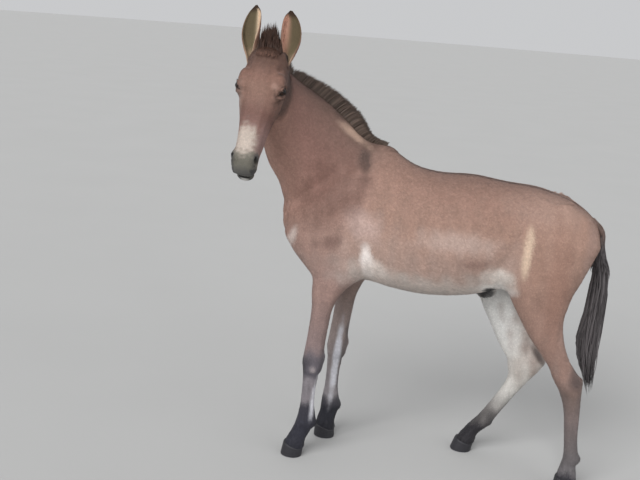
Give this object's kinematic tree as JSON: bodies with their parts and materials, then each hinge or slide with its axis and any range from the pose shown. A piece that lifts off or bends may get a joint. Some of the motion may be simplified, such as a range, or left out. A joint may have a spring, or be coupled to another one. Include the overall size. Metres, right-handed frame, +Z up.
{
  "type": "young mule",
  "caption": "Life-size standing young mule with a brown coat, pale belly and dark legs, its head turned to its left towards the viewer.",
  "frame": {"origin": "middle of the bounding box, at floor level", "axes": "+Z up, the body points towards -X, the mule's left side faces -Y"},
  "size_m": [1.2448, 0.543, 1.5053],
  "materials": {
    "coat": "short brown hair",
    "ear": "short olive-brown hair with a pale inner fringe",
    "eye": "wet dark eye",
    "leg": "short dark hair",
    "hoof": "dark horn",
    "hair": "long dark hair"
  },
  "bodies": {
    "root": {"torso": "coat", "neck": "coat", "head": "coat", "ear_left": "ear", "ear_right": "ear", "eye_left": "eye", "eye_right": "eye", "foreleg_left": "leg", "foreleg_right": "leg", "hindleg_left": "leg", "hindleg_right": "leg", "forehoof_left": "hoof", "forehoof_right": "hoof", "hindhoof_left": "hoof", "hindhoof_right": "hoof", "tail": "hair"}
  },
  "joints": []
}
